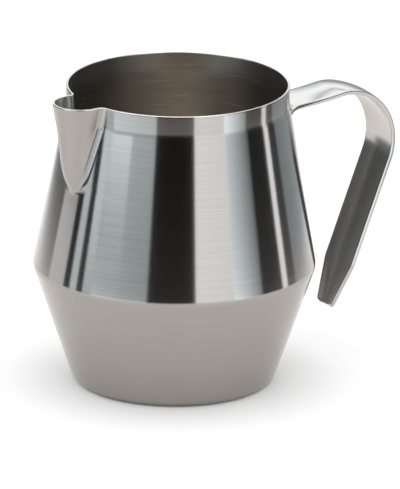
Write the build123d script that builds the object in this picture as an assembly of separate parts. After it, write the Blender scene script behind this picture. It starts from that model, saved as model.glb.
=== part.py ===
from build123d import *
from math import asin, atan, atan2, cos, pi, radians, sin, sqrt, tan
import os

# A small steaming jug of polished stainless steel. One sheet is drawn, bulged and necked into the
# body, its spout is pressed out of the rim, and an open strap handle is spot-welded to the back.
# Origin: centre of the base, on the plane the jug stands on. +Z up, handle towards +X, spout towards -X.
# All sizes are in millimetres.

# ---- driving dimensions: the body ----
body_height = 108.0          # table to rim
wall = 0.8                   # thickness of the body sheet
base_radius = 35.2           # where the lower cone would meet the table if the corner were sharp
base_round = 4.5             # outside radius of the corner round the base
belly_height = 42.5          # height of the crease between the two cones
belly_radius = 49.9          # radius of that crease if it were sharp
belly_round = 5.0            # outside radius of the crease
neck_height = 7.5            # upright band under the rim
neck_radius = 39.3           # outside radius of the band
neck_offset = 1.0            # pressing the spout draws the neck this far towards the handle
neck_round = 12.0            # hollow radius between the upper cone and the band
rim_bevel = 0.2              # both edges of the cut rim are broken by this much
panel_radius = 26.0          # raised panel in the middle of the base
panel_rise = 1.2
panel_step = 2.0             # width of the slope round the panel
panel_round = 1.2            # rounding at the top and the foot of that slope

# ---- driving dimensions: the spout ----
spout_reach = 50.1           # body axis to the tip of the lip, at the rim
spout_crease = 1.6           # radius of the crease where the spout leaves the wall
# front of the spout: depth below the rim, then how far it has drawn back from the lip and the outside
# radius of its nose there, both as shares of how far the lip stands out from the neck
spout_front = [
    (-9.5, -0.15, 1.11),
    (0.0, 0.0, 0.89),
    (9.5, 0.15, 0.70),
    (17.5, 0.23, 0.565),
    (24.5, 0.325, 0.47),
    (29.0, 0.47, 0.45),
    (33.0, 0.70, 0.46),
    (40.0, 1.19, 0.50),
    (48.0, 1.76, 0.56),
]
spout_foot = 0.05            # the spout starts where its nose stands this far out of the wall
press_start = 1 / 3          # share of the upper cone that is left round, from the belly up
press_steps = 15             # level cuts through the pressed wall, up to the hollow under the neck
plain_turn = 1.5             # degrees, length of the nose and crease arcs where the wall is still round

# ---- driving dimensions: the handle ----
strap_width = 16.6
strap_thickness = 1.5
strap_crown = 0.8            # the strap is this much hollow at the weld and crowned in the grip
crown_start = 0.6            # share of the tab that is left at its full hollow
strap_edge = 0.45            # softened long edges
strap_stations = 24          # even steps along the strap at which its section is set
handle_reach = 89.2          # body axis to the outermost line of the grip
handle_top = 97.2            # height of the highest line of the handle
handle_curve = 21.5          # outside radius of the bend at the top of the grip
handle_rise = 8.0            # degrees, slope of the run out from the body
handle_lean = 22.5           # degrees, lean of the straight leg from upright
handle_end_height = 15.6     # free end of the leg
tab_length = 22.0            # welded tab, measured up to the sharp corner with the run
tab_bend = 4.5               # centre-line radius of the bend above the tab
taper_length = 16.0          # the last of the leg narrows over this length
taper_width = 9.0            # width of the cut end
tip_corner = 1.2             # rounded corners of the cut end
tab_taper = 4.0              # the foot of the tab narrows a little over this length
tab_width = 14.6             # width of the foot of the tab
tab_corner = 3.0             # rounded corners of the foot

# ---- driving dimensions: the spot welds ----
weld_rows = 2
weld_columns = 2
weld_spacing = 8.0           # between welds, up the tab and across it
weld_margin = 4.5            # from the end of the tab to the first pair
nugget_diameter = 4.0
nugget_depth = 0.4           # how far each nugget is fused into either sheet
dimple_radius = 12.0         # radius of the electrode's tip
dimple_depth = 0.15          # mark that the tip leaves on each outer face

overrun = 6.0                # cutting solids run past the edge they trim by this much
near = 1e-3                  # tolerance when circles are picked by height

neck_level = body_height - neck_height
lower_gain = (belly_radius - base_radius) / belly_height
upper_gain = (belly_radius - neck_radius) / (neck_level - belly_height)
back_slope = upper_gain - neck_offset / (neck_level - belly_height)
hollow_tangent = neck_round * tan(atan(upper_gain) / 2)
hollow_start = neck_level - hollow_tangent * cos(atan(upper_gain))
hollow_end = neck_level + hollow_tangent
press_level = belly_height + press_start * (neck_level - belly_height)


def rings_at(solid, level):
    """The full circles of a solid that lie at one level."""
    return [edge for edge in solid.edges() if abs(edge.center().Z - level) < near and edge.is_closed]


def wall_radius(level):
    """Outside radius of the upper cone, the neck and the hollow between them."""
    if level <= hollow_start:
        return belly_radius - upper_gain * (level - belly_height)
    if level >= hollow_end:
        return neck_radius
    return neck_radius + neck_round - sqrt(neck_round**2 - (hollow_end - level) ** 2)


def wall_centre(level):
    """How far the middle of the wall has moved towards the handle at a level."""
    return neck_offset * min((level - belly_height) / (neck_level - belly_height), 1)


def along_front(depth, column):
    """One column of spout_front at any depth below the rim, on a smooth line."""
    depth = min(depth, spout_front[-2][0])
    index = max(i for i in range(1, len(spout_front) - 2) if i == 1 or spout_front[i][0] < depth)
    before, start, end, after = spout_front[index - 1 : index + 3]
    span = end[0] - start[0]
    share = (depth - start[0]) / span
    slope_in = (end[column] - before[column]) / (end[0] - before[0]) * span
    slope_out = (after[column] - start[column]) / (after[0] - start[0]) * span
    rise_part = 3 * share**2 - 2 * share**3
    in_part = share**3 - 2 * share**2 + share
    out_part = share**3 - share**2
    return (
        (1 - rise_part) * start[column]
        + rise_part * end[column]
        + in_part * slope_in
        + out_part * slope_out
    )


def pressed_section(level, inset):
    """One level cut through the pressed wall: nose, two creases and the round of the wall."""
    radius = wall_radius(level)
    centre = wall_centre(level)
    stand_out = spout_reach - neck_radius
    nose = stand_out * along_front(body_height - level, 2)
    middle = spout_reach - stand_out * along_front(body_height - level, 1) + centre - nose
    if middle + nose > radius + spout_foot:
        outside = radius + spout_crease
        forwards = (outside**2 - (nose + spout_crease) ** 2 + middle**2) / (2 * middle)
        sideways = sqrt(outside**2 - forwards**2)
        nose_turn = atan2(sideways, forwards - middle)
        wall_turn = atan2(sideways, forwards)
        crease_turn = (nose_turn + wall_turn) / 2
        crease = spout_crease + inset
        crease_middle = (forwards - crease * cos(crease_turn), sideways - crease * sin(crease_turn))
    else:
        middle, nose = 0, radius
        nose_turn, crease_turn, wall_turn = [radians(plain_turn) * count for count in (1, 1.5, 2)]
        crease_middle = ((radius - inset) * cos(crease_turn), (radius - inset) * sin(crease_turn))
    nose_end = (middle + (nose - inset) * cos(nose_turn), (nose - inset) * sin(nose_turn))
    wall_start = ((radius - inset) * cos(wall_turn), (radius - inset) * sin(wall_turn))

    def at(point, side=1):
        return (centre - point[0], side * point[1])

    outline = Wire(
        [
            ThreePointArc(at(nose_end, -1), at((middle + nose - inset, 0)), at(nose_end)),
            ThreePointArc(at(nose_end), at(crease_middle), at(wall_start)),
            ThreePointArc(at(wall_start), at((inset - radius, 0)), at(wall_start, -1)),
            ThreePointArc(at(wall_start, -1), at(crease_middle, -1), at(nose_end, -1)),
        ]
    )
    return Plane.XY.offset(level) * Face(outline)


def round_part(inset):
    """The lower cone and the round start of the upper one, drawn inset inside the outer face."""
    lower_inset = inset * sqrt(1 + lower_gain**2)
    upper_inset = inset * sqrt(1 + upper_gain**2)
    crease_level = belly_height + (lower_inset - upper_inset) / (lower_gain + upper_gain)
    crease_radius = belly_radius - upper_gain * (crease_level - belly_height) - upper_inset
    floor_radius = base_radius + lower_gain * inset - lower_inset
    floor = Plane.XY.offset(inset) * Circle(floor_radius)
    crease = Plane.XY.offset(crease_level) * Pos(wall_centre(crease_level), 0) * Circle(crease_radius)
    top = Plane.XY.offset(press_level) * Pos(wall_centre(press_level), 0)
    top = top * Circle(wall_radius(press_level) - upper_inset)
    solid = loft([floor, crease], ruled=True) + loft([crease, top], ruled=True)
    solid = fillet(rings_at(solid, inset), base_round - inset)
    solid = fillet(rings_at(solid, crease_level), belly_round - inset)

    panel_shift = inset * tan(atan(panel_rise / panel_step) / 2)
    panel_foot = Plane.XY.offset(inset) * Circle(panel_radius + panel_shift)
    panel_top = Plane.XY.offset(inset + panel_rise) * Circle(panel_radius - panel_step + panel_shift)
    solid -= loft([panel_foot, panel_top], ruled=True)
    for level, radius in ((inset, panel_round - inset), (inset + panel_rise, panel_round + inset)):
        solid = fillet(min(rings_at(solid, level), key=lambda ring: ring.length), radius)
    return solid


def pressed_part(inset, rim_inset):
    """The wall from the round part up, with the spout pressed out, and the broken edge of the rim."""
    slant = sqrt(1 + upper_gain**2)
    step = (hollow_start - press_level) / press_steps
    cone = [pressed_section(press_level + step * count, inset * slant) for count in range(press_steps + 1)]
    rim_level = body_height - rim_bevel
    neck_levels = (neck_level, hollow_end, (hollow_end + rim_level) / 2, rim_level)
    neck = [pressed_section(level, inset) for level in neck_levels]
    return loft(cone + neck) + loft([neck[-1], pressed_section(body_height, rim_inset)], ruled=True)


# ---- body shell: one sheet from base to rim ----
jug = round_part(0) + pressed_part(0, rim_bevel)
body_shell = jug - (round_part(wall) + pressed_part(wall, wall - rim_bevel))

# ---- handle strap: a flat strip bent in one plane, hollow at the tab and crowned in the grip ----
rise = radians(handle_rise)
lean = radians(handle_lean)
bend_centre = Vector(handle_reach - handle_curve, 0, handle_top - handle_curve)
bend_radius = handle_curve - strap_thickness / 2


def meet(point, direction, other_point, other_direction):
    """Where two lines in the XZ plane cross."""
    gap = other_point - point
    turn = direction.X * other_direction.Z - direction.Z * other_direction.X
    step = (gap.X * other_direction.Z - gap.Z * other_direction.X) / turn
    return point + direction * step


run_point = bend_centre + Vector(-sin(rise), 0, cos(rise)) * bend_radius
run_direction = Vector(cos(rise), 0, sin(rise))
leg_point = bend_centre + Vector(cos(lean), 0, -sin(lean)) * bend_radius
leg_direction = Vector(-sin(lean), 0, -cos(lean))
tab_point = Vector(belly_radius + strap_thickness / 2 * sqrt(1 + back_slope**2), 0, belly_height)
tab_direction = Vector(-back_slope, 0, 1).normalized()

tab_top = meet(run_point, run_direction, tab_point, tab_direction)
tab_foot = tab_top - tab_direction * tab_length
grip_corner = meet(run_point, run_direction, leg_point, leg_direction)
leg_end = leg_point + leg_direction * ((leg_point.Z - handle_end_height) / cos(lean))
strap_line = FilletPolyline(tab_foot, tab_top, grip_corner, leg_end, radius=[tab_bend, bend_radius])
tab_span, bend_span, run_span = [edge.length for edge in strap_line.edges()[:3]]


def strap_section(distance, crown):
    """The strap cut across, distance along its middle line, with both long faces bowed by crown."""
    share = distance / strap_line.length
    place = Plane(origin=strap_line @ share, x_dir=(0, 1, 0), z_dir=strap_line % share)
    half = strap_width / 2
    face = strap_thickness / 2
    outline = Wire(
        [
            ThreePointArc((-half, face - crown), (0, face), (half, face - crown)),
            Line((half, face - crown), (half, -face - crown)),
            ThreePointArc((half, -face - crown), (0, -face), (-half, -face - crown)),
            Line((-half, -face - crown), (-half, face - crown)),
        ]
    )
    blank = Face(outline)
    return place * fillet(blank.vertices(), strap_edge)


def crown_at(distance):
    """Hollow on the tab, turning over along the bend and the run, and crowned from there on."""
    turn_start = crown_start * tab_span
    turn_end = tab_span + bend_span + run_span
    share = min(max((distance - turn_start) / (turn_end - turn_start), 0), 1)
    return -strap_crown * cos(pi * share)


distances = [strap_line.length * step / strap_stations for step in range(strap_stations + 1)]
strap_sections = [strap_section(distance, crown_at(distance)) for distance in distances]
strap = sweep(strap_sections, path=strap_line, multisection=True)


def trim_end(solid, end, direction, end_width, corner, length):
    """Cut one end of the strap so that it narrows to end_width over length, with rounded corners."""
    gain = (strap_width - end_width) / 2 / length
    reach = length + overrun
    wide = end_width / 2 + gain * reach
    kept = make_face(
        Polyline((-end_width / 2, 0), (end_width / 2, 0), (wide, reach), (-wide, reach), close=True)
    )
    kept = fillet(kept.vertices().sort_by(Axis.Y)[:2], corner)
    around = Pos(0, reach / 2) * Rectangle(2 * strap_width, reach)
    place = Plane(origin=end, x_dir=(0, 1, 0), z_dir=Vector(0, 1, 0).cross(direction))
    return solid - extrude(place * (around - kept), overrun, both=True)


strap = trim_end(strap, leg_end, -leg_direction, taper_width, tip_corner, taper_length)
strap = trim_end(strap, tab_foot, tab_direction, tab_width, tab_corner, tab_taper)
strap -= jug


# ---- spot welds: nuggets fused between the tab and the wall, each under a pair of shallow dents ----
def wall_plane(level, across):
    """A plane on the outside of the upper cone at the back, with its Z axis out of the sheet."""
    share = (level - belly_height) / (neck_level - belly_height)
    radius = belly_radius + (neck_radius - belly_radius) * share
    centre = neck_offset * share
    turn = asin(across / radius)
    tilt = atan(back_slope)
    outward = Vector(cos(turn) * cos(tilt), sin(turn) * cos(tilt), sin(tilt))
    return Plane(origin=(centre + radius * cos(turn), across, level), z_dir=outward)


weld_planes = []
for row in range(weld_rows):
    level = tab_foot.Z + (weld_margin + row * weld_spacing) * tab_direction.Z
    for column in range(weld_columns):
        across = (column - (weld_columns - 1) / 2) * weld_spacing
        weld_planes.append(wall_plane(level, across))

nugget = Cylinder(nugget_diameter / 2, 2 * nugget_depth)
tip = Sphere(dimple_radius) & Cylinder(nugget_diameter, 2 * dimple_radius)
tip_gap = dimple_radius - dimple_depth
spot_welds = []
for plane in weld_planes:
    spot_welds.append(plane * nugget)
    body_shell -= plane * nugget
    body_shell -= plane * Pos(0, 0, -wall - tip_gap) * tip
    strap -= plane * nugget
    strap -= plane * Pos(0, 0, strap_thickness + tip_gap) * tip

nodes = {
    "body_shell": body_shell,
    "handle_strap": strap,
    "spot_welds": Compound(children=spot_welds),
}
os.makedirs("parts", exist_ok=True)
for name, shape in nodes.items():
    export_step(shape, f"parts/{name}.step")
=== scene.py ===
from math import atan2, cos, hypot, pi, radians, sin, sqrt, tan

import bpy
from mathutils import Matrix, Vector


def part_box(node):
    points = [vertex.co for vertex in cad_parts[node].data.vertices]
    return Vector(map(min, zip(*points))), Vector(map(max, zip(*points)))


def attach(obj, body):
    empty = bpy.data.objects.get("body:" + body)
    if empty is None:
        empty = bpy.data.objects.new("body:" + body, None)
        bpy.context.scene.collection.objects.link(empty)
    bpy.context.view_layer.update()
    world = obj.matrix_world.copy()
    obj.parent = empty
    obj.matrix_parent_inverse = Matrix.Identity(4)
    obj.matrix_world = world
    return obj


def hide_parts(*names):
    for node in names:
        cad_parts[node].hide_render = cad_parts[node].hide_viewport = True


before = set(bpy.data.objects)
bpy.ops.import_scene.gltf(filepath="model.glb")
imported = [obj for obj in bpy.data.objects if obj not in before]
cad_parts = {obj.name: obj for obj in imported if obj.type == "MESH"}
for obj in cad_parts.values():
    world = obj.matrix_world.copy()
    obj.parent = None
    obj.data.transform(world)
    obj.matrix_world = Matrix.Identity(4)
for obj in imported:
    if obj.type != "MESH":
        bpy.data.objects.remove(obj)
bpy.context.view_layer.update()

# ---- body shell ----
# The vessel is one sheet of stainless steel, 0.8 mm thick. It is drawn and bulged into two cones with
# an upright neck, the spout is then pressed out of the rim, and the wall is brushed with fine lines
# The rim is the cut edge of the sheet, softened, and its upward faces take the lighter inside steel, so
# part of its brightness is painted light.
body_low, body_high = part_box("body_shell")
rim_height = body_high.z
sheet = 0.0008
crease_radius = 0.0499
crease_height = 0.0425
crease_round = 0.005
foot_radius = 0.0352
foot_round = 0.0045
panel_radius = 0.026
panel_rise = 0.0012
panel_step = 0.002
panel_round = 0.0012
neck_radius = 0.0393
neck_height = 0.0075
neck_round = 0.012
neck_offset = 0.001
throat_height = rim_height - neck_height


def rounded_corner(before, corner, after, radius, steps):
    """Points of the arc that rounds one corner of the section, from the first leg to the second."""
    first = (before - corner).normalized()
    second = (after - corner).normalized()
    half = first.angle(second) / 2
    middle = corner + (first + second).normalized() * radius / sin(half)
    start = corner + first * radius / tan(half) - middle
    end = corner + second * radius / tan(half) - middle
    turn = start.angle_signed(end)
    return [middle + Matrix.Rotation(-turn * step / steps, 2) @ start for step in range(steps + 1)]


def straight(start, end, spacing):
    """Points between two ends of a straight run, without the ends."""
    steps = max(1, round((end - start).length / spacing))
    return [start.lerp(end, step / steps) for step in range(1, steps)]


pressed_from = 0.064
cone_slope = (neck_radius - crease_radius) / (throat_height - crease_height)
corners = [
    (Vector((0, panel_rise)), 0, 1),
    (Vector((panel_radius - panel_step, panel_rise)), panel_round, 4),
    (Vector((panel_radius, 0)), panel_round, 4),
    (Vector((foot_radius, 0)), foot_round, 10),
    (Vector((crease_radius, crease_height)), crease_round, 12),
    (Vector((crease_radius + cone_slope * (pressed_from - crease_height), pressed_from)), 0, 1),
    (Vector((neck_radius, throat_height)), neck_round, 12),
    (Vector((neck_radius, rim_height)), 0, 1),
]
spacing = [0.006, 0.001, 0.003, 0.003, 0.003, 0.0005, 0.0005]
section = [corners[0][0]]
for index in range(1, len(corners)):
    place, radius, steps = corners[index]
    if radius:
        arc = rounded_corner(corners[index - 1][0], place, corners[index + 1][0], radius, steps)
    else:
        arc = [place]
    section += straight(section[-1], arc[0], spacing[index - 1]) + arc

bpy.ops.object.select_all(action="DESELECT")
bpy.ops.mesh.primitive_plane_add(size=0.001)
body = bpy.context.object
body.name = "jug_body"
bpy.ops.object.mode_set(mode="EDIT")
bpy.ops.mesh.merge(type="CENTER")
bpy.ops.transform.translate(value=(0, 0, section[0].y))
for point, following in zip(section, section[1:]):
    step = (point.x - following.x, 0, following.y - point.y)
    bpy.ops.mesh.extrude_region_move(TRANSFORM_OT_translate={"value": step})

# The arc that holds the spout has closer columns than the rest of the wall.
fine_arc = radians(52)
fine_columns = 150
plain_columns = 128
bpy.ops.mesh.select_all(action="SELECT")
bpy.ops.transform.rotate(value=fine_arc / 2, orient_axis="Z", center_override=(0, 0, 0))
bpy.ops.mesh.spin(steps=fine_columns, angle=fine_arc, center=(0, 0, 0), axis=(0, 0, 1))
bpy.ops.mesh.spin(steps=plain_columns, angle=2 * pi - fine_arc, center=(0, 0, 0), axis=(0, 0, 1))
bpy.ops.mesh.select_all(action="SELECT")
bpy.ops.mesh.remove_doubles(threshold=0.00001)
bpy.ops.mesh.normals_make_consistent(inside=False)
bpy.ops.object.mode_set(mode="OBJECT")

# The press: depth below the rim, then how far the front of the spout has drawn back there and the
# radius of its nose, both as shares of how far the lip stands out from the neck.
spout_front = [
    (-0.0095, -0.15, 1.11),
    (0, 0, 0.89),
    (0.0095, 0.15, 0.70),
    (0.0175, 0.23, 0.565),
    (0.0245, 0.325, 0.47),
    (0.029, 0.47, 0.45),
    (0.033, 0.70, 0.46),
    (0.04, 1.19, 0.50),
    (0.048, 1.76, 0.56),
]
spout_reach = 0.0501
stand_out = spout_reach - neck_radius
spout_crease = 0.0016
lip_foot_soft = 0.0012

# Past shares_from, the nose, crease and wall each come to keep a fixed share of the columns, and do so
# fully once the spout stands out by shares_blend more.
shares_from = 0.0005
shares_blend = 0.0015
column_shares = (0.36, 0.24, 0.4)
curve_weight = 0.003


def along_front(depth, column):
    """One column of spout_front at any depth below the rim, on a smooth line."""
    depth = min(depth, spout_front[-2][0])
    for index in range(1, len(spout_front) - 2):
        if depth <= spout_front[index + 1][0]:
            break
    before, start, end, after = spout_front[index - 1:index + 3]
    span = end[0] - start[0]
    share = (depth - start[0]) / span
    slope_in = (end[column] - before[column]) / (end[0] - before[0]) * span
    slope_out = (after[column] - start[column]) / (after[0] - start[0]) * span
    return (
        (2 * share**3 - 3 * share**2 + 1) * start[column]
        + (share**3 - 2 * share**2 + share) * slope_in
        + (3 * share**2 - 2 * share**3) * end[column]
        + (share**3 - share**2) * slope_out
    )


def softer_larger(first, second, soft):
    """The larger of two distances, with the corner where they cross rounded off."""
    gap = max(soft - abs(first - second), 0)
    return max(first, second) + gap * gap / (4 * soft)


def pressed_outline(wall_radius, height, drawn):
    """One level of the pressed wall, from the middle of the spout round to the end of the fine arc.

    Each arc is its centre, radius, and the angles where it starts and ends. Distances are from the
    middle of the wall, forwards to the spout and across."""
    depth = rim_height - height
    nose = stand_out * along_front(depth, 2)
    reach = spout_reach + drawn - stand_out * along_front(depth, 1)
    front = softer_larger(reach, wall_radius, lip_foot_soft)
    middle = front - nose
    outside = wall_radius + spout_crease
    forwards = (outside**2 - (nose + spout_crease) ** 2 + middle**2) / (2 * middle)
    hollow = Vector((forwards, sqrt(max(outside**2 - forwards**2, 0))))
    nose_end = atan2(hollow.y, hollow.x - middle)
    wall_start = atan2(hollow.y, hollow.x)
    return [
        (Vector((middle, 0)), nose, 0, nose_end),
        (hollow, spout_crease, nose_end + pi, wall_start + pi),
        (Vector((0, 0)), wall_radius, wall_start, fine_arc / 2),
    ], min(max((front - wall_radius - shares_from) / shares_blend, 0), 1)


def along_outline(outline, fixed, share):
    """The point at a share of an outline. Tight curves count for more than their length, and where the
    spout stands well out (fixed is 1), nose, crease and wall each keep their own part of the points."""
    counts = [abs(end - start) * (radius + curve_weight) for _, radius, start, end in outline]
    whole = sum(counts)
    counts = [
        (1 - fixed) * count / whole + fixed * part for count, part in zip(counts, column_shares)
    ]
    wanted = share * sum(counts)
    for (middle, radius, start, end), count in zip(outline, counts):
        if wanted <= count:
            break
        wanted -= count
    place = start + (end - start) * min(max(wanted / count, 0), 1)
    return middle + Vector((cos(place), sin(place))) * radius


outlines = {}
for vertex in body.data.vertices:
    height = vertex.co.z
    drawn = neck_offset * min(max((height - crease_height) / (throat_height - crease_height), 0), 1)
    turn = atan2(abs(vertex.co.y), -vertex.co.x)
    if height > pressed_from and turn < fine_arc / 2:
        level = round(height, 7)
        if level not in outlines:
            outlines[level] = pressed_outline(hypot(vertex.co.x, vertex.co.y), height, drawn)
        point = along_outline(*outlines[level], turn / (fine_arc / 2))
        vertex.co = (-point.x, point.y if vertex.co.y > 0 else -point.y, height)
    vertex.co.x += drawn

rim_round = 0.00025
wall = body.modifiers.new("wall", "SOLIDIFY")
wall.thickness = sheet
wall.offset = -1
wall.use_even_offset = True
bpy.ops.object.modifier_apply(modifier="wall")
rim = body.modifiers.new("rim", "BEVEL")
rim.width = rim_round
rim.segments = 3
rim.limit_method = "ANGLE"
rim.angle_limit = radians(60)
bpy.ops.object.modifier_apply(modifier="rim")
for vertex in body.data.vertices:
    vertex.co.z = min(vertex.co.z, rim_height)
bpy.ops.object.shade_smooth_by_angle(angle=radians(50))

body_steel = bpy.data.materials.new("brushed_body_steel")
body_steel.use_nodes = True
nodes = body_steel.node_tree.nodes
links = body_steel.node_tree.links
steel = nodes["Principled BSDF"]
steel.inputs["Metallic"].default_value = 1.0
steel.inputs["Anisotropic"].default_value = 0.88
steel.inputs["Anisotropic Rotation"].default_value = 0.25
place = nodes.new("ShaderNodeTexCoord")
round_axis = nodes.new("ShaderNodeTangent")
round_axis.direction_type = "RADIAL"
round_axis.axis = "Z"
links.new(round_axis.outputs["Tangent"], steel.inputs["Tangent"])
# Brush lines run round the jug: the pattern is squeezed along the height and long across it.
line_place = nodes.new("ShaderNodeMapping")
line_place.inputs["Scale"].default_value = (25, 25, 2400)
links.new(place.outputs["Object"], line_place.inputs["Vector"])
lines = nodes.new("ShaderNodeTexNoise")
lines.inputs["Scale"].default_value = 1.0
lines.inputs["Detail"].default_value = 4.0
lines.inputs["Roughness"].default_value = 0.65
links.new(line_place.outputs["Vector"], lines.inputs["Vector"])
line_colour = nodes.new("ShaderNodeValToRGB")
line_colour.name = "line_colour"
line_colour.color_ramp.elements[0].position = 0.3
line_colour.color_ramp.elements[0].color = (0.345, 0.318, 0.295, 1)
line_colour.color_ramp.elements[1].position = 0.7
line_colour.color_ramp.elements[1].color = (0.378, 0.350, 0.323, 1)
links.new(lines.outputs["Fac"], line_colour.inputs["Fac"])
links.new(line_colour.outputs["Color"], steel.inputs["Base Color"])
line_rough = nodes.new("ShaderNodeMapRange")
line_rough.name = "line_rough"
line_rough.inputs["To Min"].default_value = 0.13
line_rough.inputs["To Max"].default_value = 0.19
links.new(lines.outputs["Fac"], line_rough.inputs["Value"])
links.new(line_rough.outputs["Result"], steel.inputs["Roughness"])
line_relief = nodes.new("ShaderNodeBump")
line_relief.inputs["Strength"].default_value = 0.03
line_relief.inputs["Distance"].default_value = 0.0001
links.new(lines.outputs["Fac"], line_relief.inputs["Height"])
links.new(line_relief.outputs["Normal"], steel.inputs["Normal"])
body.data.materials.append(body_steel)

# The inside is left satin: the same brush lines on a duller sheet, rougher and less anisotropic. Its
# base colour is painted lighter and warmer than the outside's. This is painted light, standing in for
# light on the inside walls, the inside floor and the top of the rim.
painted_lighter_inside_steel = body_steel.copy()
painted_lighter_inside_steel.name = "satin_painted_lighter_inside_steel"
body.data.materials.append(painted_lighter_inside_steel)
nodes = painted_lighter_inside_steel.node_tree.nodes
satin = nodes["Principled BSDF"]
satin.inputs["Anisotropic"].default_value = 0.6
ramp = nodes["line_colour"].color_ramp
# These lighter colours are painted light on the inside walls, the inside floor and the rim top.
ramp.elements[0].color = (0.55, 0.51, 0.46, 1)
ramp.elements[1].color = (0.62, 0.58, 0.53, 1)
nodes["line_rough"].inputs["To Min"].default_value = 0.22
nodes["line_rough"].inputs["To Max"].default_value = 0.30
# Faces that face inwards, and every face that faces upwards, take the lighter copy. This is painted
# light on the inside, the inside floor and the rim top.
for face in body.data.polygons:
    level_radius = hypot(face.center.x, face.center.y)
    outward = face.normal.x * face.center.x + face.normal.y * face.center.y
    if face.center.z > sheet and (outward < 0 and level_radius > panel_radius or face.normal.z > 0.5):
        face.material_index = 1
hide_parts("body_shell")
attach(body, "root")

# ---- handle strap ----
# The handle is one strip of stainless steel, 1.5 mm thick, bent cold in one plane. Its upper end is
# spot-welded to the wall below the neck, and its lower end hangs free. It is brushed lengthwise.
strap_low, strap_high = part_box("handle_strap")
strap_half = strap_high.y
strap_thickness = 0.0015
strap_crown = 0.0008
crown_start = 0.6
strap_edge = 0.00045
tab_bend = 0.0045
handle_curve = 0.0215
handle_reach = strap_high.x
handle_rise = radians(8)
handle_lean = radians(22.5)
handle_top = strap_high.z
leg_end_height = 0.0156
tab_length = 0.022
taper_length = 0.016
taper_half = 0.0045
tip_corner = 0.0012
tab_taper = 0.004
tab_half = 0.0073
tab_corner = 0.003
bend_middle = Vector((handle_reach - handle_curve, handle_top - handle_curve))
bend_radius = handle_curve - strap_thickness / 2
run_way = Vector((cos(handle_rise), sin(handle_rise)))
leg_way = Vector((-sin(handle_lean), -cos(handle_lean)))
run_point = bend_middle + Vector((-sin(handle_rise), cos(handle_rise))) * bend_radius
leg_point = bend_middle + Vector((cos(handle_lean), -sin(handle_lean))) * bend_radius
back_slope = (crease_radius - neck_radius - neck_offset) / (throat_height - crease_height)
tab_way = Vector((-back_slope, 1)).normalized()
tab_point = Vector((crease_radius + strap_thickness / 2 * sqrt(1 + back_slope**2), crease_height))


def crossing(point, way, other_point, other_way):
    """Where two lines of the bent strip cross."""
    gap = other_point - point
    return point + way * (gap.cross(other_way) / way.cross(other_way))


tab_top = crossing(run_point, run_way, tab_point, tab_way)
tab_foot = tab_top - tab_way * tab_length
grip_corner = crossing(run_point, run_way, leg_point, leg_way)
leg_end = leg_point + leg_way * ((leg_point.y - leg_end_height) / cos(handle_lean))
end_spacing = 0.0006
run_spacing = 0.001
tab_arc = rounded_corner(tab_foot, tab_top, grip_corner, tab_bend, 16)
grip_arc = rounded_corner(tab_top, grip_corner, leg_end, bend_radius, 64)
strap_line = [
    tab_foot,
    *straight(tab_foot, tab_arc[0], end_spacing),
    *tab_arc,
    *straight(tab_arc[-1], grip_arc[0], run_spacing),
    *grip_arc,
    *straight(grip_arc[-1], leg_end, end_spacing),
    leg_end,
]
lengths = [0]
for start, end in zip(strap_line, strap_line[1:]):
    lengths.append(lengths[-1] + (end - start).length)
turn_start = crown_start * (tab_arc[0] - tab_foot).length
turn_end = lengths[strap_line.index(grip_arc[0])]


def strap_half_width(distance):
    """Half the strip's width at a distance from the foot of its tab, tapered and rounded at the ends."""
    left = lengths[-1] - distance
    half = strap_half
    half = min(half, tab_half + (strap_half - tab_half) * distance / tab_taper)
    half = min(half, taper_half + (strap_half - taper_half) * left / taper_length)
    for gone, corner in ((distance, tab_corner), (left, tip_corner)):
        if gone < corner:
            half -= corner - sqrt(corner**2 - (corner - gone) ** 2)
    return half


def strap_bow(distance):
    """How far the strip's edges stand back from its middle: hollow on the tab, crowned in the grip."""
    share = min(max((distance - turn_start) / (turn_end - turn_start), 0), 1)
    return -strap_crown * cos(pi * share)


strip_columns = 12
bpy.ops.object.select_all(action="DESELECT")
bpy.ops.mesh.primitive_grid_add(
    x_subdivisions=len(strap_line) - 1, y_subdivisions=strip_columns, size=1, location=(0, 0, 0)
)
handle = bpy.context.object
handle.name = "handle_strip"
for vertex in handle.data.vertices:
    index = round((vertex.co.x + 0.5) * (len(strap_line) - 1))
    share = vertex.co.y * 2
    before = strap_line[max(index - 1, 0)]
    after = strap_line[min(index + 1, len(strap_line) - 1)]
    way = (after - before).normalized()
    outward = Vector((-way.y, way.x))
    at = strap_line[index] - outward * strap_bow(lengths[index]) * share**2
    vertex.co = (at.x, share * strap_half_width(lengths[index]), at.y)
bpy.ops.object.mode_set(mode="EDIT")
bpy.ops.mesh.select_all(action="SELECT")
bpy.ops.mesh.normals_make_consistent(inside=False)
bpy.ops.object.mode_set(mode="OBJECT")
thickness = handle.modifiers.new("thickness", "SOLIDIFY")
thickness.thickness = strap_thickness
thickness.offset = 0
bpy.ops.object.modifier_apply(modifier="thickness")
edges = handle.modifiers.new("edges", "BEVEL")
edges.width = strap_edge
edges.segments = 3
edges.limit_method = "ANGLE"
edges.angle_limit = radians(50)
bpy.ops.object.modifier_apply(modifier="edges")
bpy.ops.object.shade_smooth_by_angle(angle=radians(50))

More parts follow.
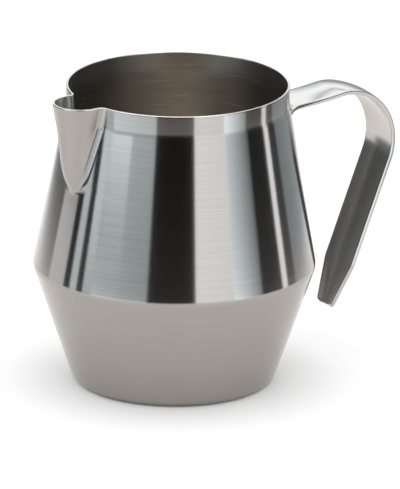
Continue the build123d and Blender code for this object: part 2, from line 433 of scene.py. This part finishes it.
handle_steel = bpy.data.materials.new("brushed_handle_steel")
handle_steel.use_nodes = True
nodes = handle_steel.node_tree.nodes
links = handle_steel.node_tree.links
steel = nodes["Principled BSDF"]
steel.inputs["Metallic"].default_value = 1.0
place = nodes.new("ShaderNodeTexCoord")
line_place = nodes.new("ShaderNodeMapping")
line_place.inputs["Scale"].default_value = (8, 1300, 8)
links.new(place.outputs["Object"], line_place.inputs["Vector"])
lines = nodes.new("ShaderNodeTexNoise")
lines.inputs["Scale"].default_value = 1.0
lines.inputs["Detail"].default_value = 1.5
links.new(line_place.outputs["Vector"], lines.inputs["Vector"])
line_colour = nodes.new("ShaderNodeValToRGB")
line_colour.color_ramp.elements[0].position = 0.3
line_colour.color_ramp.elements[0].color = (0.485, 0.458, 0.428, 1)
line_colour.color_ramp.elements[1].position = 0.7
line_colour.color_ramp.elements[1].color = (0.51, 0.482, 0.452, 1)
links.new(lines.outputs["Fac"], line_colour.inputs["Fac"])
links.new(line_colour.outputs["Color"], steel.inputs["Base Color"])
line_rough = nodes.new("ShaderNodeMapRange")
line_rough.inputs["To Min"].default_value = 0.15
line_rough.inputs["To Max"].default_value = 0.20
links.new(lines.outputs["Fac"], line_rough.inputs["Value"])
links.new(line_rough.outputs["Result"], steel.inputs["Roughness"])
line_relief = nodes.new("ShaderNodeBump")
line_relief.inputs["Strength"].default_value = 0.01
line_relief.inputs["Distance"].default_value = 0.0001
links.new(lines.outputs["Fac"], line_relief.inputs["Height"])
links.new(line_relief.outputs["Normal"], steel.inputs["Normal"])
handle.data.materials.append(handle_steel)
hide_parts("handle_strap")
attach(handle, "root")

# ---- spot welds ----
# Four nuggets of steel melted together between the tab and the wall. They are dull and faintly
# straw-coloured from the heat, and lie hidden between the two sheets.
weld_steel = bpy.data.materials.new("heat_tinted_weld")
weld_steel.use_nodes = True
nodes = weld_steel.node_tree.nodes
links = weld_steel.node_tree.links
steel = nodes["Principled BSDF"]
steel.inputs["Metallic"].default_value = 1.0
place = nodes.new("ShaderNodeTexCoord")
tint = nodes.new("ShaderNodeTexNoise")
tint.inputs["Scale"].default_value = 900.0
tint.inputs["Detail"].default_value = 3.0
links.new(place.outputs["Object"], tint.inputs["Vector"])
tint_colour = nodes.new("ShaderNodeValToRGB")
tint_colour.color_ramp.elements[0].color = (0.24, 0.2, 0.16, 1)
tint_colour.color_ramp.elements[1].color = (0.46, 0.42, 0.36, 1)
links.new(tint.outputs["Fac"], tint_colour.inputs["Fac"])
links.new(tint_colour.outputs["Color"], steel.inputs["Base Color"])
tint_rough = nodes.new("ShaderNodeMapRange")
tint_rough.inputs["To Min"].default_value = 0.35
tint_rough.inputs["To Max"].default_value = 0.6
links.new(tint.outputs["Fac"], tint_rough.inputs["Value"])
links.new(tint_rough.outputs["Result"], steel.inputs["Roughness"])
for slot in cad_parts["spot_welds"].material_slots:
    slot.material = weld_steel

# ---- floor ----
# A plain pale matt sheet under the jug, much wider than the view.
bpy.ops.object.select_all(action="DESELECT")
bpy.ops.mesh.primitive_circle_add(vertices=96, radius=8, fill_type="NGON", location=(0, 0, 0))
floor = bpy.context.object
floor.name = "floor"
floor_paint = bpy.data.materials.new("pale_floor")
floor_paint.use_nodes = True
floor_paint.node_tree.nodes["Principled BSDF"].inputs["Base Color"].default_value = (0.94, 0.94, 0.94, 1)
floor_paint.node_tree.nodes["Principled BSDF"].inputs["Roughness"].default_value = 0.9
floor_paint.node_tree.nodes["Principled BSDF"].inputs["Specular IOR Level"].default_value = 0.2
floor.data.materials.append(floor_paint)

# ---- light ----
# Soft even light from all round, with a ring of pale and dark studio cards that only the steel sees.
world = bpy.data.worlds.new("soft_studio")
bpy.context.scene.world = world
world.use_nodes = True
world.node_tree.nodes["Background"].inputs["Color"].default_value = (1, 1, 1, 1)
world.node_tree.nodes["Background"].inputs["Strength"].default_value = 1.33

view_azimuth = radians(-34)
card_distance = 0.30
card_height = 0.50
plain_white = (0.95, 1.0, 1.05)
cool_grey = (0.85, 1.0, 1.1)
# Each card: its two edges in degrees round from the camera, its colour, how bright it is at either
# edge, and how that changes with height, as height and share.
cards = [
    (-150, -113, plain_white, 0.8, 0.8, [(0.01, 0.9), (0.025, 0.35), (0.1, 0.15), (0.5, 0.1)]),
    (-113, -93, plain_white, 1.2, 1.2, [(0.05, 1.0), (0.08, 0.15), (0.5, 0.1)]),
    (-93, -86, cool_grey, 0.0, 0.0, [(0, 1)]),
    (-86, -79, cool_grey, 1.3, 1.3, [(0, 1)]),
    (-79, -73, cool_grey, 0.0, 0.0, [(0, 1)]),
    (-73, -65, cool_grey, 1.45, 1.2, [(0.05, 0.75), (0.07, 1.2)]),
    (-65, -43, cool_grey, 1.2, 1.05, [(0.03, 1.7), (0.055, 0.42), (0.085, 0.9), (0.13, 2.2)]),
    (-43, -20, cool_grey, 1.05, 0.9, [(0.03, 1.7), (0.055, 0.5), (0.085, 0.8), (0.13, 1.2)]),
    (-20, 16, cool_grey, 0.0, 0.0, [(0, 1)]),
    (16, 46, plain_white, 1.9, 1.75, [(0, 1)]),
    (46, 70, cool_grey, 1.55, 0.3, [(0.03, 2.0), (0.055, 1.0)]),
    (70, 91, cool_grey, 0.02, 0.02, [(0, 1)]),
    (91, 97, plain_white, 2.0, 2.0, [(0, 1)]),
    (97, 108, cool_grey, 0.08, 0.08, [(0, 1)]),
    (108, 150, cool_grey, 0.45, 0.65, [(0, 1)]),
    (150, 210, plain_white, 1.1, 1.1,
     [(0.02, 0.7), (0.06, 0.4), (0.14, 0.4), (0.22, 1.7),
      (0.262, 1.7), (0.268, 0.1), (0.286, 0.1), (0.292, 1.7)]),
]
for number, (start, end, colour, at_start, at_end, heights) in enumerate(cards):
    card_glow = bpy.data.materials.new(f"card_{number}")
    card_glow.use_nodes = True
    nodes = card_glow.node_tree.nodes
    links = card_glow.node_tree.links
    nodes.remove(nodes["Principled BSDF"])
    place = nodes.new("ShaderNodeUVMap")
    split = nodes.new("ShaderNodeSeparateXYZ")
    links.new(place.outputs["UV"], split.inputs["Vector"])
    sideways = nodes.new("ShaderNodeMapRange")
    sideways.inputs["To Min"].default_value = at_start
    sideways.inputs["To Max"].default_value = at_end
    links.new(split.outputs["X"], sideways.inputs["Value"])
    upwards = nodes.new("ShaderNodeFloatCurve")
    curve = upwards.mapping.curves[0]
    upwards.mapping.clip_max_y = 3
    upwards.mapping.use_clip = False
    curve.points[0].location = (0, heights[0][1])
    curve.points[1].location = (1, heights[-1][1])
    for height, share in heights:
        if 0 < height < card_height:
            curve.points.new(height / card_height, share)
    for point in curve.points:
        point.handle_type = "VECTOR"
    upwards.mapping.update()
    links.new(split.outputs["Y"], upwards.inputs["Value"])
    both = nodes.new("ShaderNodeMath")
    both.operation = "MULTIPLY"
    links.new(sideways.outputs["Result"], both.inputs[0])
    links.new(upwards.outputs["Value"], both.inputs[1])
    glow = nodes.new("ShaderNodeEmission")
    glow.inputs["Color"].default_value = (*colour, 1)
    links.new(both.outputs["Value"], glow.inputs["Strength"])
    links.new(glow.outputs["Emission"], nodes["Material Output"].inputs["Surface"])

    half_width = radians(end - start) / 2
    bearing = view_azimuth + radians(start + end) / 2
    bpy.ops.object.select_all(action="DESELECT")
    bpy.ops.mesh.primitive_plane_add(size=1, rotation=(pi / 2, 0, 0))
    card = bpy.context.object
    card.name = f"card_{number}"
    bpy.ops.object.transform_apply(location=False, rotation=True, scale=False)
    card.scale = (2 * card_distance * tan(half_width), 1, card_height)
    card.rotation_euler = (0, 0, bearing)
    card.location = (card_distance * sin(bearing), -card_distance * cos(bearing), card_height / 2)
    card.data.materials.append(card_glow)
    card.visible_camera = False
    card.visible_diffuse = False
    card.visible_shadow = False

# A soft box overhead lights the inside, the rim and the top of the handle.
overhead_width = 0.36
overhead_height = 0.55
overhead_glow = bpy.data.materials.new("overhead_glow")
overhead_glow.use_nodes = True
nodes = overhead_glow.node_tree.nodes
nodes.remove(nodes["Principled BSDF"])
glow = nodes.new("ShaderNodeEmission")
glow.inputs["Color"].default_value = (1, 0.99, 0.97, 1)
glow.inputs["Strength"].default_value = 3.7
overhead_glow.node_tree.links.new(glow.outputs["Emission"], nodes["Material Output"].inputs["Surface"])
bpy.ops.object.select_all(action="DESELECT")
bpy.ops.mesh.primitive_plane_add(size=overhead_width, location=(0, 0, overhead_height))
overhead = bpy.context.object
overhead.name = "overhead_soft_box"
overhead.data.materials.append(overhead_glow)
overhead.visible_camera = False
overhead.visible_diffuse = False
overhead.visible_shadow = False

# ---- camera ----
# A long lens looks at the jug from the front left, a little from above.
view_elevation = radians(17.8)
view_roll = radians(0.53)
view_distance = 4.695
aim = Vector((0.00749, -0.00505, 0.0491))
level = cos(view_elevation)
away = Vector((sin(view_azimuth) * level, -cos(view_azimuth) * level, sin(view_elevation)))
side = Vector((cos(view_azimuth), sin(view_azimuth), 0))
top = away.cross(side)
level_side = side * cos(view_roll) + top * sin(view_roll)
level_top = away.cross(level_side)
lens = bpy.data.cameras.new("camera")
lens.sensor_fit = "HORIZONTAL"
lens.sensor_width = 36
lens.lens = 1200
lens.clip_end = 100
camera = bpy.data.objects.new("camera", lens)
bpy.context.scene.collection.objects.link(camera)
turned = Matrix((level_side, level_top, away)).transposed().to_4x4()
camera.matrix_world = Matrix.Translation(aim + away * view_distance) @ turned
bpy.context.scene.camera = camera
bpy.context.scene.view_settings.view_transform = "Standard"
